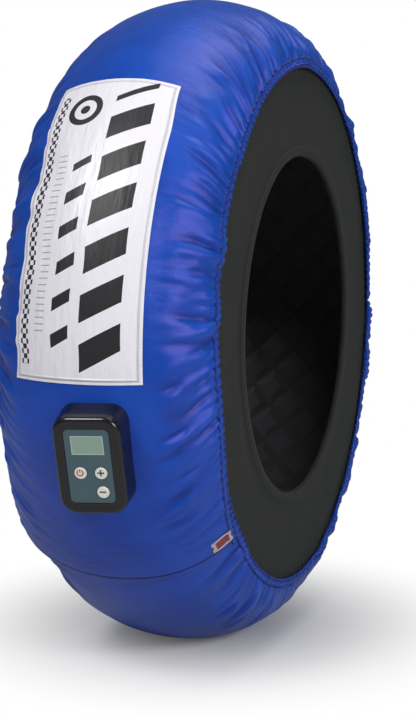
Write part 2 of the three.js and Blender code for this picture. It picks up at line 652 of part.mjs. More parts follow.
// Board on the four bosses, with its switches, relay and terminals.
const board = cut(
  block(2 * (BOSS_X + BOSS_RADIUS), 2 * (BOSS_Y + BOSS_RADIUS), BOARD_Z, boardTop),
  ...bossPlaces.map(([x, y]) => bar(SCREW_RADIUS + FIT, 0, CUT_REACH, 8).translate(x, y, 0)),
);
add("circuit_board", board, materials.board, boxFrame);
add("relay", block(20, 15, BOARD_Z - FIT - 7, BOARD_Z - FIT, 0, RELAY_Y), materials.case, boxFrame);
const terminalY = BOX_HEIGHT / 2 - LEAD_INSET - TERMINAL_OFFSET;
add("terminal_block", cut(
  block(18, 8, BOARD_Z - FIT - 6, BOARD_Z - FIT, 0, terminalY),
  block(4, 5, 0, BOARD_Z - 3, -5, terminalY),
  block(4, 5, 0, BOARD_Z - 3, 5, terminalY),
), materials.board, boxFrame);

// Push buttons: a cap in the overlay's hole, with a flange behind the face.
const flangeTop = FACE_Z - FACE_T - FIT;
const flangeLow = flangeTop - 1.5;
const buttonTop = overlayFloor + OVERLAY_T + BUTTON_PROUD;
const switchTop = flangeLow - BUTTON_TRAVEL - FIT;
for (const [name, [x, y]] of Object.entries(BUTTONS)) {
  const cap = new THREE.LatheGeometry([
    new THREE.Vector2(0, flangeLow),
    new THREE.Vector2(BUTTON_RADIUS + BUTTON_FLANGE, flangeLow),
    new THREE.Vector2(BUTTON_RADIUS + BUTTON_FLANGE, flangeTop),
    new THREE.Vector2(BUTTON_RADIUS, flangeTop),
    new THREE.Vector2(BUTTON_RADIUS, buttonTop - 0.4),
    new THREE.Vector2(BUTTON_RADIUS - 0.4, buttonTop),
    new THREE.Vector2(0, buttonTop),
  ], 16).rotateX(Math.PI / 2).translate(x, y, 0);
  add(name, geometryOf(solidOf(cap)), materials.button, boxFrame);
  const stem = bar(1.7, boardTop + 2, switchTop, 8).translate(x, y, 0);
  const body = block(SWITCH_SIZE, SWITCH_SIZE, boardTop + FIT, boardTop + 4, x, y);
  add(name.replace("button", "switch"), join(body, stem), materials.steel, boxFrame);
}

// Screws: four close the case, and four hold it to the plate inside the cover.
function screw(top, length) {
  return join(
    bar(SCREW_HEAD_RADIUS, top - SCREW_HEAD_T, top, 8),
    bar(SCREW_RADIUS, top - SCREW_HEAD_T - length, top - SCREW_HEAD_T + 0.2, 8),
  );
}
bossPlaces.forEach(([x, y], i) => {
  add(`case_screw_${i + 1}`, screw(FACE_Z, 16).translate(x, y, 0), materials.steel, boxFrame);
});
mountPlaces.forEach(([x, y], i) => {
  const top = floorTop + FIT + SCREW_HEAD_T;
  add(`mounting_screw_${i + 1}`, screw(top, 7.5).translate(x, y, 0), materials.steel, boxFrame);
});

// Plate inside the cover that the mounting screws grip.
const plateDepth = COVER_T + LAYER_GAP;
const degrees = THREE.MathUtils.radToDeg;
const plateReach = degrees((BOX_HEIGHT / 2 - PLATE_INSET) / CROWN_RADIUS);
const plateSide = degrees((BOX_WIDTH / 2 - PLATE_INSET) / SECTION_HALF_WIDTH);
const plate = patch(
  [BOX_ANGLE + 360 - plateReach, BOX_ANGLE + 360 + plateReach],
  [boxSection - plateSide, boxSection + plateSide],
  -(plateDepth + 1.2),
  -plateDepth,
);
add("backing_plate", cut(plate, ...mountHoles.map(inBox), ...leadHoles.map(inBox)), materials.case);

// Gland for the supply cord, which isn't part of the model, and its nut inside the wall.
const wallT = BOX_WALL + FIT;
const gland = cut(
  join(
    bar(GLAND_RADIUS, -wallT - GLAND_NUT_T - 1, GLAND_LENGTH),
    bar(GLAND_FLANGE_RADIUS, FIT, FIT + GLAND_FLANGE_T, 6),
  ),
  bar(GLAND_BORE, -20, 20, 10),
);
const glandNut = cut(
  bar(GLAND_FLANGE_RADIUS, -wallT - FIT - GLAND_NUT_T, -wallT - FIT, 6),
  bar(GLAND_RADIUS + FIT, -20, 20),
);
add("cord_gland", inWall(gland), materials.case, boxFrame);
add("gland_nut", inWall(glandNut), materials.case, boxFrame);

// Leads down to the heater, and the probe that feels the lining.
const leadEnd = -(COVER_T + BATTING_T + 3); // short of the heating element
for (const [name, [x, y]] of Object.entries(LEADS)) {
  add(name, bar(LEAD_RADIUS, leadEnd, 7, 8).translate(x, y, 0), materials.steel, boxFrame);
}

export default group;
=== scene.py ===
# %% [markdown]
# # A motorcycle tyre warmer
#
# This scene dresses the CAD model of an electric tyre warmer. The warmer is a long padded band
# that closes to a ring, with a stretch panel on each side and a controller on its tongue. The CAD
# parts are loaded first, in metres, and each soft part then gets a piece of real cloth laid
# exactly over it, so nothing has to be fitted by eye.

# %% Load the frame
import math

import bpy
import numpy as np
from mathutils import Matrix, Vector


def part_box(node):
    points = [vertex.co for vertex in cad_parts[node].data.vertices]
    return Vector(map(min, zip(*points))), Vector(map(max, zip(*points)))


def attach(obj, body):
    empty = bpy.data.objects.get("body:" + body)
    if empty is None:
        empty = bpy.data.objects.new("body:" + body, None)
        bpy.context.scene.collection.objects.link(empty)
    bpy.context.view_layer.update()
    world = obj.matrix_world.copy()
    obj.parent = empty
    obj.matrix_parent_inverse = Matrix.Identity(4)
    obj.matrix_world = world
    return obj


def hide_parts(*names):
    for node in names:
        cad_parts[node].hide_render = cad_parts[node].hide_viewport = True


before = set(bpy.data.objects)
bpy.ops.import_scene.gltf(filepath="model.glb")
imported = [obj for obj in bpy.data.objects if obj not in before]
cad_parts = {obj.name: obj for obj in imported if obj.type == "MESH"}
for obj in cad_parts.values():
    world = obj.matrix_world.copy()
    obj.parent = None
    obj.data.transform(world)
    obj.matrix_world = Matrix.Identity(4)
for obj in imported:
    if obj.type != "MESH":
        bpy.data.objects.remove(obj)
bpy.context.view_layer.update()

# %% [markdown]
# ## Sizes
#
# The shape is a ring with a half-elliptical section. A point on it is given by two angles: one
# round the ring, counted in degrees from the top towards the controller, and one round the
# section, counted from the crown. These are the same sizes as in the CAD source, in millimetres.

# %% Sizes that the cloth shares with the CAD source
SECTION_CENTRE_RADIUS = 254
CROWN_RADIUS = 339
HALF_WIDTH = 108.5
HEIGHT = CROWN_RADIUS - SECTION_CENTRE_RADIUS
CENTRE_HEIGHT = 333.5
STRIP_START = 104.5
TONGUE_END = 490
RING_END = 463.3
HEM_ANGLE = 74.5
TONGUE_HEM_ANGLE = 68
TONGUE_RISE = 4.5
TONGUE_HEM_RISE = 6.2
CORNER_LIFT = 7
CASING_WIDTH = 8
FOLD_RADIUS = 300
GATHER_WIDTH = 9.5


def smooth(x, start, end):
    k = np.clip((np.asarray(x, float) - start) / (end - start), 0, 1)
    return k * k * (3 - 2 * k)


def mix(a, b, k):
    return a + (b - a) * k


def on_ring(angle, y, r, foot=0.0, ease=0.0):
    """Metres in the part's frame, from the angle round the ring, the width and the radius."""
    a = np.radians(angle)
    lift = np.maximum(0, ease - CENTRE_HEIGHT - foot * np.cos(a))
    x, y = np.broadcast_arrays(-r * np.sin(a), y)
    return np.stack([x, y, CENTRE_HEIGHT + r * np.cos(a) + lift], -1) / 1000


def section(t, out):
    """Width and radius at a section angle, out millimetres over the cover's plain face."""
    a = np.radians(t)
    across, up = HEIGHT * np.sin(a), HALF_WIDTH * np.cos(a)
    size = np.hypot(across, up)
    y = HALF_WIDTH * np.sin(a) + out * across / size
    return y, SECTION_CENTRE_RADIUS + HEIGHT * np.cos(a) + out * up / size


def tongue_rise(angle, t):
    """How far the tongue stands over the start of the strip, with its far corner turned up."""
    along = smooth(angle, 436, 461)
    to_hem = smooth(np.abs(t), 63, TONGUE_HEM_ANGLE)
    corner = smooth(angle, STRIP_START + 360, TONGUE_END) * smooth(t, 34, HEM_ANGLE)
    return along * mix(TONGUE_RISE, TONGUE_HEM_RISE, to_hem) + CORNER_LIFT * corner


def hem_angle(angle):
    return mix(HEM_ANGLE, TONGUE_HEM_ANGLE, smooth(angle, 461, TONGUE_END))


half_turn = np.radians(np.linspace(0, HEM_ANGLE, 200))
HALF_ARC = np.trapz(np.hypot(HALF_WIDTH * np.cos(half_turn), HEIGHT * np.sin(half_turn)), half_turn)
print("cloth from crown to stitching:", round(float(HALF_ARC), 1), "mm")

# %% [markdown]
# ## Camera
#
# The camera stands where the photograph was taken from: a little above the ring's centre, in
# front of it and to one side. A long lens keeps its near and far edges at nearly the same size.

# %% Camera
CAMERA_PLACE = (-1.7316, -0.6365, 0.54955)
CAMERA_WAY = (0.93859, 0.34501)
CAMERA_DROP = math.radians(7.94)
LENS = 86.15

level = math.cos(CAMERA_DROP)
look = Vector((CAMERA_WAY[0] * level, CAMERA_WAY[1] * level, -math.sin(CAMERA_DROP)))
bpy.ops.object.select_all(action="DESELECT")
bpy.ops.object.camera_add(location=CAMERA_PLACE)
camera = bpy.context.object
camera.name = "camera"
camera.rotation_mode = "QUATERNION"
camera.rotation_quaternion = look.to_track_quat("-Z", "Y")
camera.data.sensor_width = 36
camera.data.lens = LENS
bpy.context.scene.camera = camera
print("camera looks along", [round(x, 3) for x in look])

# %% [markdown]
# ## Painting with nodes
#
# A material is a small program made of nodes. Writing it as sums and products reads better than
# wiring boxes, so one class wraps a socket and turns each operator into a Math node. The other
# class holds the material, and its one method adds any other node.

# %% Node helpers
def linear(r, g, b):
    """A colour as it looks on a screen, from 0 to 255, turned into the shader's linear values."""
    channels = []
    for c in (r / 255, g / 255, b / 255):
        channels.append(((c + 0.055) / 1.055) ** 2.4 if c > 10 / 255 else c / 12.92)
    return (*channels, 1.0)


class Wire:
    def __init__(self, paint, socket):
        self.paint, self.socket = paint, socket

    def math(self, operation, *others):
        sockets = dict(enumerate((self, *others)))
        return self.paint.node("ShaderNodeMath", 0, {"operation": operation}, sockets)

    def __add__(self, other):
        return self.math("ADD", other)

    def __radd__(self, other):
        return self.math("ADD", other)

    def __sub__(self, other):
        return self.math("SUBTRACT", other)

    def __rsub__(self, other):
        return (self * -1) + other

    def __mul__(self, other):
        return self.math("MULTIPLY", other)

    def __rmul__(self, other):
        return self.math("MULTIPLY", other)

    def __truediv__(self, other):
        return self.math("DIVIDE", other)

    def __pow__(self, other):
        return self.math("POWER", other)

    def __abs__(self):
        return self.math("ABSOLUTE")

    def __lt__(self, other):
        return self.math("LESS_THAN", other)

    def __gt__(self, other):
        return self.math("GREATER_THAN", other)

    def larger(self, other):
        return self.math("MAXIMUM", other)

    def smaller(self, other):
        return self.math("MINIMUM", other)

    def repeat(self, size):
        return self.math("FLOORED_MODULO", size)

    def wave(self, pitch):
        return (self * (2 * math.pi / pitch)).math("SINE")

    def fade(self, start, end):
        sockets = {"Value": self, "From Min": start, "From Max": end}
        return self.paint.node("ShaderNodeMapRange", 0, {"interpolation_type": "SMOOTHSTEP"}, sockets)


class Paint:
    def __init__(self, name, colour, roughness, **constants):
        self.material = bpy.data.materials.new(name)
        self.material.use_nodes = True
        self.tree = self.material.node_tree
        self.shader = self.tree.nodes["Principled BSDF"]
        self.set(**{"Base Color": colour, "Roughness": roughness}, **constants)

    def node(self, kind, out=0, settings=None, sockets=None):
        made = self.tree.nodes.new(kind)
        for key, value in (settings or {}).items():
            setattr(made, key, value)
        for key, value in (sockets or {}).items():
            self.plug(made.inputs[key], value)
        return Wire(self, made.outputs[out])

    def plug(self, socket, value):
        if isinstance(value, Wire):
            self.tree.links.new(value.socket, socket)
        else:
            socket.default_value = value

    def set(self, **sockets):
        for key, value in sockets.items():
            self.plug(self.shader.inputs[key.replace("_", " ")], value)

    def blend(self, mask, low, high):
        sockets = {0: mask, 6: low, 7: high}
        return self.node("ShaderNodeMix", 2, {"data_type": "RGBA"}, sockets)

    def parts(self, vector):
        return [self.node("ShaderNodeSeparateXYZ", k, {}, {0: vector}) for k in range(3)]

    def place(self):
        return self.node("ShaderNodeTexCoord", "Object")

    def cloth(self, name):
        """The two lengths along the cloth that a UV map holds, in millimetres."""
        x, y, _ = self.parts(self.node("ShaderNodeUVMap", 0, {"uv_map": name}))
        return x * 1000, y * 1000

    def flat(self, x, y, z=0.0):
        return self.node("ShaderNodeCombineXYZ", 0, {}, {0: x, 1: y, 2: z})

    def noise(self, vector, scale, detail=2.0, roughness=0.5):
        sockets = {"Vector": vector, "Scale": scale, "Detail": detail, "Roughness": roughness}
        return self.node("ShaderNodeTexNoise", 0, {}, sockets)

    def bump(self, height, distance, strength=1.0, under=None):
        sockets = {"Height": height, "Distance": distance, "Strength": strength}
        if under:
            sockets["Normal"] = under
        return self.node("ShaderNodeBump", 0, {}, sockets)


print("mid grey in linear values:", [round(c, 3) for c in linear(128, 128, 128)])

# %% [markdown]
# ## Finishes
#
# The cover is a close nylon cloth with a soft shine. Its blue is one colour, and what makes it
# lively is the way its folds catch the light. The material adds a fine weave, a trace of dye
# variation, the sewing: dark stitches that sink into puckered cloth, and painted shade that
# darkens the fold valleys and the grooves of the stitches.

# %% Nylon of the cover
nylon = Paint("blue_nylon", linear(2, 66, 152), 0.36, Sheen_Weight=0.03, Sheen_Roughness=0.4)
nylon.set(Sheen_Tint=(0.6, 0.55, 1, 1), Specular_Tint=(0.52, 0.34, 1, 1), Specular_IOR_Level=0.72)
run, across = nylon.cloth("cloth")
to_end, to_hem = nylon.cloth("edges")


def stitches(paint, along, aside, pitch=3.2, width=0.45, mark=0.72):
    """A row of stitches: short dashes along a line, and the groove that they pull into the cloth."""
    dash = (along.repeat(pitch) < pitch * mark) * (abs(aside) < width)
    groove = 1 - abs(aside).fade(0.2, 1.6)
    return dash, groove


row_a, groove_a = stitches(nylon, run, to_hem - 0.6)
row_b, groove_b = stitches(nylon, run, to_hem + 6.2, 2.6, 0.3)
row_c, groove_c = stitches(nylon, across, to_end - 4.5, 4.4, 0.8)
thread = row_a.larger(row_b).larger(row_c)
groove = groove_a.larger(groove_b).larger(groove_c)
weave = run.wave(0.9) * across.wave(0.9)
dye = nylon.noise(nylon.flat(run, across), 0.02, 3.0)
body = nylon.blend(dye.fade(0.35, 0.7), linear(1, 64, 158), linear(2, 72, 172))
# Painted shade: the fold valleys, read from a UV map, and the grooves of the stitches darken the base
# colour.
valley, _ = nylon.cloth("valleys")
painted_shade_amount = (valley * 0.5).larger(groove * 0.5)
shaded = nylon.blend(painted_shade_amount, body, linear(2, 26, 92))
wrinkle = nylon.noise(nylon.flat(run * 0.09, across * 0.02), 1.0, 3.0, 0.5)
pucker = nylon.noise(nylon.flat(run * 0.35, across * 0.05), 1.0, 2.0) * (1 - to_hem.fade(2, 16))
fine = nylon.bump(weave, 0.00004)
crumple = nylon.bump(wrinkle, 0.003, 0.35, fine)
nylon.set(
    **{"Base Color": nylon.blend(thread, shaded, linear(4, 10, 38))},
    Normal=nylon.bump(pucker * 2 - groove + thread * 0.4, 0.0012, 1.0, crumple),
    Roughness=dye.fade(0.3, 0.8) * 0.08 + 0.31,
)
print("nylon:", len(nylon.tree.nodes), "nodes")

# %% [markdown]
# The side panels are neoprene: a dense stretch fabric that hardly shines. A fine fleck and a
# very small bump keep it from looking like painted metal. Two rows of stitches hold its hem.

# %% Neoprene of the side panels
neoprene = Paint("black_neoprene", linear(24, 28, 26), 0.85, Sheen_Weight=0.02, Sheen_Roughness=0.5)
around, inward = neoprene.cloth("cloth")
knit = neoprene.noise(neoprene.place(), 900.0, 2.0)
fleck = neoprene.noise(neoprene.place(), 260.0, 3.0, 0.7)
sewn_a, dip_a = stitches(neoprene, around, inward - 3.0, 3.0, 0.4)
sewn_b, dip_b = stitches(neoprene, around, inward - 10.0, 3.0, 0.4)
sewn = sewn_a.larger(sewn_b)
dip = dip_a.larger(dip_b)
dull = neoprene.blend(fleck.fade(0.35, 0.75), linear(8, 11, 8), linear(22, 27, 22))
# Painted shade: the cloth is darkened in the grooves that the stitches pull in.
painted_dip_shade = neoprene.blend(dip * 0.6, dull, linear(8, 9, 9))
neoprene.set(
    **{"Base Color": neoprene.blend(sewn, painted_dip_shade, linear(44, 47, 46))},
    Normal=neoprene.bump(knit * 0.5 - dip * 3, 0.0005),
)
print("neoprene:", len(neoprene.tree.nodes), "nodes")

# %% [markdown]
# Inside lies a quilted lining that can take the heat. It is dark, and diagonal rows of sewing
# draw it into diamonds.

# %% Lining, batting and heating cloth
lining = Paint("quilted_lining", linear(36, 37, 40), 0.75, Sheen_Weight=0.15)
run, across = lining.cloth("cloth")
rows = [abs((run + across * k).repeat(48) - 24) for k in (1, -1)]
quilt = rows[0].smaller(rows[1])
threads = lining.bump(lining.noise(lining.place(), 700.0), 0.0002)
lining.set(
    **{"Base Color": lining.blend(quilt.fade(0.3, 2.5), linear(16, 16, 18), linear(40, 41, 45))},
    Normal=lining.bump(quilt.fade(0, 14), 0.0025, 1.0, threads),
)

batting = Paint("white_batting", linear(216, 212, 200), 1.0)
fluff = batting.noise(batting.place(), 120.0, 6.0, 0.8)
batting.set(
    **{"Base Color": batting.blend(fluff, linear(190, 186, 172), linear(232, 229, 220))},
    Normal=batting.bump(fluff, 0.002),
)

heater = Paint("heating_cloth", linear(150, 104, 66), 0.8)
run, across = heater.cloth("cloth")
ribs = run.wave(1.5) * across.wave(1.5)
heater.set(
    **{"Base Color": heater.blend(ribs * 0.5 + 0.5, linear(128, 86, 52), linear(168, 120, 80))},
    Normal=heater.bump(ribs, 0.0002),
)
print("inner finishes:", lining.material.name, batting.material.name, heater.material.name)

# %% [markdown]
# The sewn-on label is a satin panel. It carries a plain racing pattern: a strip of chequers, a
# ring, and bold slanted bars. All of it is drawn with comparisons on the panel's own lengths.

# %% Label and tag
label = Paint("printed_satin", linear(222, 219, 226), 0.45, Sheen_Weight=0.08)
down, over = label.cloth("cloth")
square = 4.6
odd = ((down / square).math("FLOOR") + (over / square).math("FLOOR")).repeat(2) > 0.5
chequer = odd * (over > 7) * (over < 7 + 2 * square) * (down > 16) * (down < 290)
slant = down + over * 0.55
bars = (slant.repeat(44) < 25) * (over > 70) * (over < 108) * (slant > 62) * (slant < 352)
short = ((slant + 12).repeat(33) < 12) * (over > 42) * (over < 60) * (slant > 124) * (slant < 318)
dx = down - 38
dy = over - 40
radius = (dx * dx + dy * dy) ** 0.5
ring = (abs(radius - 15) < 3.2) + (radius < 5)
rules = ((down.repeat(6) < 1.1) * (over > 24) * (over < 34) * (down > 90) * (down < 262)) * 0.55
ink = chequer.larger(bars).larger(short).larger(ring).larger(rules).smaller(1.0)
rim_a, rim_b = label.cloth("edges")
from_edge = rim_a.smaller(rim_b)
sew = ((down + over).repeat(3.2) < 2.3) * (abs(from_edge - 4) < 0.4)
sink = 1 - abs(from_edge - 4).fade(0.2, 1.8)
crease = label.noise(label.flat(down * 0.012, over * 0.05), 1.0, 4.0, 0.6)
# Painted shade: the satin is darkened in the groove along the stitching round its edge.
cloth = label.blend(sink * 0.35, linear(222, 219, 226), linear(186, 184, 196))
satin = label.blend(sew, cloth, linear(176, 176, 188))
label.set(
    **{"Base Color": label.blend(ink, satin, linear(22, 22, 26))},
    Normal=label.bump(crease * 3 - sink, 0.0008),
    Roughness=ink * 0.1 + 0.4,
)

tag = Paint("woven_tag", linear(190, 168, 170), 0.7)
down, over = tag.cloth("cloth")
field = down.fade(3, 3.6) * (1 - down.fade(15, 15.6)) * (over > 1.6) * (over < 7.4)
bands = tag.blend(field, linear(196, 176, 178), linear(140, 50, 56))
marks = (down.repeat(3.4) < 1.2) * (abs(over - 4.5) < 1.4)
tag.set(
    **{"Base Color": tag.blend(marks, bands, linear(92, 92, 110))},
    Normal=tag.bump((over * 8).math("SINE"), 0.0002),
)
print("label:", len(label.tree.nodes), "nodes, tag:", len(tag.tree.nodes), "nodes")

# %% [markdown]
# The controller is moulded in black plastic with a very fine grain. Its keypad is a printed
# film, and the marks on the buttons are drawn from distances to each button's centre.

# %% Plastics, metal and the small parts
def grained(name, colour, roughness, grain=0.00008, scale=1500.0):
    paint = Paint(name, colour, roughness)
    speck = paint.noise(paint.place(), scale, 2.0)
    worn = paint.noise(paint.place(), 40.0, 3.0)
    paint.set(Normal=paint.bump(speck, grain), Roughness=worn * 0.12 + (roughness - 0.06))
    return paint


case = grained("black_plastic", linear(13, 13, 15), 0.26, 0.00003)
overlay = grained("keypad_film", linear(64, 88, 96), 0.42, 0.00003)
window = grained("display_pane", linear(136, 160, 146), 0.2, 0.00001)
board = grained("board_green", linear(30, 92, 52), 0.5)
steel = Paint("plated_steel", linear(196, 198, 200), 0.3, Metallic=1.0)
brushed = steel.noise(steel.place(), 800.0, 3.0)
steel.set(Normal=steel.bump(brushed, 0.00005), Roughness=brushed * 0.2 + 0.22)
elastic = Paint("braided_elastic", linear(30, 30, 34), 0.8)
elastic.set(Normal=elastic.bump(elastic.noise(elastic.place(), 600.0), 0.0005))
tape = Paint("hook_and_loop", linear(20, 20, 22), 0.95, Sheen_Weight=0.3)
tape.set(Normal=tape.bump(tape.noise(tape.place(), 500.0, 4.0, 0.8), 0.001))
print("finishes so far:", len(bpy.data.materials))

# %% [markdown]
# The controller stands on the tongue, turned and tilted with it. Its own three directions place
# the marks on its face here, and its front frame further on.

# %% Marks on the controller
turn = math.radians(104.3)
tilt = math.radians(8)
box_up = Vector((math.cos(turn), 0, math.sin(turn)))
box_out = Vector((-math.sin(turn) * math.cos(tilt), -math.sin(tilt), math.cos(turn) * math.cos(tilt)))
box_right = box_up.cross(box_out)


def local(paint, node):
    """Millimetres to the right of a CAD part's centre and above it, on the controller's face."""
    low, high = (Vector(c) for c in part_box(node))
    centre = (low + high) / 2
    reach = []
    for way in (box_right, box_up):
        sockets = {0: paint.place(), 1: way}
        dot = paint.node("ShaderNodeVectorMath", "Value", {"operation": "DOT_PRODUCT"}, sockets)
        reach.append((dot - centre.dot(way)) * 1000)
    return reach


CAP_COLOUR = linear(222, 222, 210)
buttons = {}
for node in ("power_button", "plus_button", "minus_button"):
    paint = grained(node.replace("button", "cap"), CAP_COLOUR, 0.45, 0.00003)
    x, y = local(paint, node)
    if node == "power_button":
        hoop = (abs((x * x + y * y) ** 0.5 - 2.8) < 0.6) * (1 - (abs(x) < 1.3) * (y > 0))
        mark = hoop.larger((abs(x) < 0.6) * (y > 0.1) * (y < 3.7))
        colour = linear(190, 40, 40)
    else:
        mark = (abs(y) < 0.75) * (abs(x) < 3.1)
        colour = linear(50, 62, 66)
    if node == "plus_button":
        mark = mark.larger((abs(x) < 0.75) * (abs(y) < 3.1))
    paint.set(**{"Base Color": paint.blend(mark, CAP_COLOUR, colour)})
    buttons[node] = paint
x, y = local(window, "display_window")
border = (abs(x) > 14.3).larger(abs(y) > 8.3)
window.set(**{"Base Color": window.blend(border, linear(136, 160, 146), linear(172, 190, 178))})
print("finishes:", len(bpy.data.materials))

# %% [markdown]
# ## Cloth pieces
#
# Every soft piece starts as a flat grid, like cloth on a cutting table. Its points are then laid
# on the ring, column by column round it and row by row across. The grid keeps the lengths along
# the cloth in its UV maps, and the materials draw weave and stitches from those.

# %% Helper that lays a grid on a surface
def clear_selection():
    if bpy.context.object and bpy.context.object.mode != "OBJECT":
        bpy.ops.object.mode_set(mode="OBJECT")
    bpy.ops.object.select_all(action="DESELECT")


def lay_cloth(name, spots, maps, paint, close=False, flip=False):
    """Lay a grid on the given points. close joins its edges and fills its ends, and flip turns it over."""
    columns, rows = spots.shape[:2]
    cells = {"x_subdivisions": columns - 1, "y_subdivisions": rows - 1}
    clear_selection()
    bpy.ops.mesh.primitive_grid_add(size=1, calc_uvs=False, **cells)
    piece = bpy.context.object
    piece.name = piece.data.name = name
    mesh = piece.data
    flat = np.empty(len(mesh.vertices) * 3)
    mesh.vertices.foreach_get("co", flat)
    flat = flat.reshape(-1, 3)
    i = np.rint((flat[:, 0] + 0.5) * (columns - 1)).astype(int)
    j = np.rint((flat[:, 1] + 0.5) * (rows - 1)).astype(int)
    mesh.vertices.foreach_set("co", spots[i, j].ravel())
    corners = np.empty(len(mesh.loops), int)
    mesh.loops.foreach_get("vertex_index", corners)
    for key, lengths in maps.items():
        layer = mesh.uv_layers.new(name=key)
        layer.data.foreach_set("uv", (lengths[i, j] / 1000)[corners].ravel())
    mesh.update()
    bpy.ops.object.mode_set(mode="EDIT")
    bpy.ops.mesh.select_all(action="SELECT")
    if close:
        bpy.ops.mesh.remove_doubles(threshold=1e-6)
        bpy.ops.mesh.fill_holes(sides=0)
        bpy.ops.mesh.normals_make_consistent(inside=False)
    if flip:
        bpy.ops.mesh.flip_normals()
    bpy.ops.object.mode_set(mode="OBJECT")
    bpy.ops.object.shade_smooth()
    mesh.materials.append(paint.material)
    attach(piece, "warmer")
    print(name, len(mesh.polygons), "faces")
    return piece


def cloth_area(piece):
    """Square metres of a piece's faces, on both sides where it is closed."""
    return sum(p.area for p in piece.data.polygons)


def pattern(first, second):
    """Two lengths at every point of a grid, for a UV map."""
    return np.stack(np.broadcast_arrays(first, second), -1).astype(float)


def noise_line(x, seed):
    """A smooth random curve from 0 to 1, with about one swing for each whole number of x."""
    table = np.random.default_rng(seed).random(4096)
    cell = np.floor(x).astype(int)
    return mix(table[cell % 4096], table[(cell + 1) % 4096], smooth(x - cell, 0, 1))


def noise_field(x, y, seed):
    """The same over a surface, with about one swing for each whole number of x and of y."""
    table = np.random.default_rng(seed).random((512, 512))
    i, j = np.floor(x).astype(int), np.floor(y).astype(int)
    u, v = smooth(x - i, 0, 1), smooth(y - j, 0, 1)
    low = mix(table[i % 512, j % 512], table[(i + 1) % 512, j % 512], u)
    high = mix(table[i % 512, (j + 1) % 512], table[(i + 1) % 512, (j + 1) % 512], u)
    return mix(low, high, v)


print("noise at 0.5:", round(float(noise_line(0.5, 1)), 3), round(float(noise_field(0.5, 0.5, 1)), 3))

# %% [markdown]
# ## The outer cover
#
# Elastic in the hem gathers the cover. Small gathers stand along the stitching, long folds run
# from them over the shoulder, and sharp pinched creases lie between. A cloth simulation of some
# 200 gathers would need millimetre cells all round the ring, so the folds are computed. The
# folds lean: over the top they drift back, and beside the controller they drift down. The grid's
# columns lean with them, so that no fold is cut into steps.

# %% Lean of the folds
LEAN_MARKS = [104.5, 130, 165, 205, 245, 290, 330, 360, 392, 418, 436, 458, 468, 490]
LEANS = [0, 0.35, 0.55, 0.3, -0.35, 0.3, -0.25, -0.45, -0.75, -0.35, 0.0, 0.6, 0.65, 0.0]
LIVELY_MARKS = [104.5, 150, 172, 188, 205, 300, 345, 425, 440, 462, 482]
LIVELY = [0.7, 0.8, 0.4, 0.4, 0.9, 0.9, 1.0, 0.85, 0.8, 1.0, 0.35]


def profile(angle, marks, values):
    """A smooth curve round the ring through the given values."""
    level = values[0] + 0 * np.asarray(angle, float)
    for start, end, value in zip(marks, marks[1:], values[1:]):
        level = mix(level, value, smooth(angle, start, end))
    return level


def window_of(x, rise, full, fall, gone):
    return smooth(x, rise, full) * (1 - smooth(x, fall, gone))


def up_from_hem(t, hem):
    return np.radians(np.maximum(hem - np.abs(t), 0)) * HALF_ARC / math.radians(HEM_ANGLE)


def leaning(angle, t, hem):
    """The angle round the ring of a grid point whose column leans with the folds."""
    up = up_from_hem(t, hem)
    drift = profile(angle, LEAN_MARKS, LEANS) * up * (1 - up / (2 * HALF_ARC))
    return angle + np.degrees(drift / FOLD_RADIUS)


def upright(angle, t, hem):
    """The column that passes through a true angle: leaning() turned round in eight steps."""
    column = angle + 0 * t
    for _ in range(8):
        column = angle - (leaning(column, t, hem) - column)
    return column


print("lean at the top:", round(float(leaning(360, 0, HEM_ANGLE)) - 360, 2), "degrees")

# %% [markdown]
# Each kind of fold is one function of the place on the cloth: its run round the ring and its
# distance up from the stitching, both in millimetres. A seed decides how each kind falls out.

# %% Folds
CREASES_ON_A_SIDE = 170


def ridges(run, up, seed):
    """Rounded ridges with narrow valleys that wander as they run up from the stitching."""
    drift = 0.9 * noise_line(run / (5 * GATHER_WIDTH), seed + 7)
    wander = 0.8 * noise_field(run / (4 * GATHER_WIDTH), up / (3 * GATHER_WIDTH), seed + 3)
    phase = run / GATHER_WIDTH + drift + wander
    return 1 - (1 - np.abs(np.sin(np.pi * phase))) ** 1.5


def crest(x, y, seed):
    """Long folds with a bent crest, from 0 to 1."""
    swing = 2 * noise_field(x, y, seed) - 1
    return 1 - np.sqrt(swing * swing + 0.004)


def bulges(run, seed):
    """Millimetres that slack cloth stands out here and there along the hem."""
    return 4.0 * smooth(noise_line(run / 34, seed), 0.55, 1.0)


def creases(run, up, count, seed):
    """Pinched folds: a narrow valley with a ridge on one side, each with its own length."""
    rng = np.random.default_rng(seed)
    first, last = run.min(), run.max()
    total = np.zeros(np.broadcast(run, up).shape)
    for i in range(count):
        middle = first + (i + rng.random()) * (last - first) / count
        foot = rng.uniform(8, 50) if rng.random() < 0.4 else 0.0
        length, width = rng.uniform(26, 84), rng.uniform(2.3, 4.6)
        depth, bend = rng.uniform(1.0, 3.0), rng.uniform(-9, 9)
        side = 1 if rng.random() < 0.7 else -1
        k = (up - foot) / length
        along = smooth(k, -0.15, 0.15) * (1 - smooth(k, 0.3, 1))
        d = (run - middle - bend * k * k) / width
        total += depth * along * (0.75 * np.exp(-(((d - 1.8 * side) / 1.7) ** 2)) - np.exp(-d * d))
    return total


def side_seed(side):
    """The seed that the folds of one side share: 80 on the near side, 100 on the far side."""
    return 90 + 10 * side


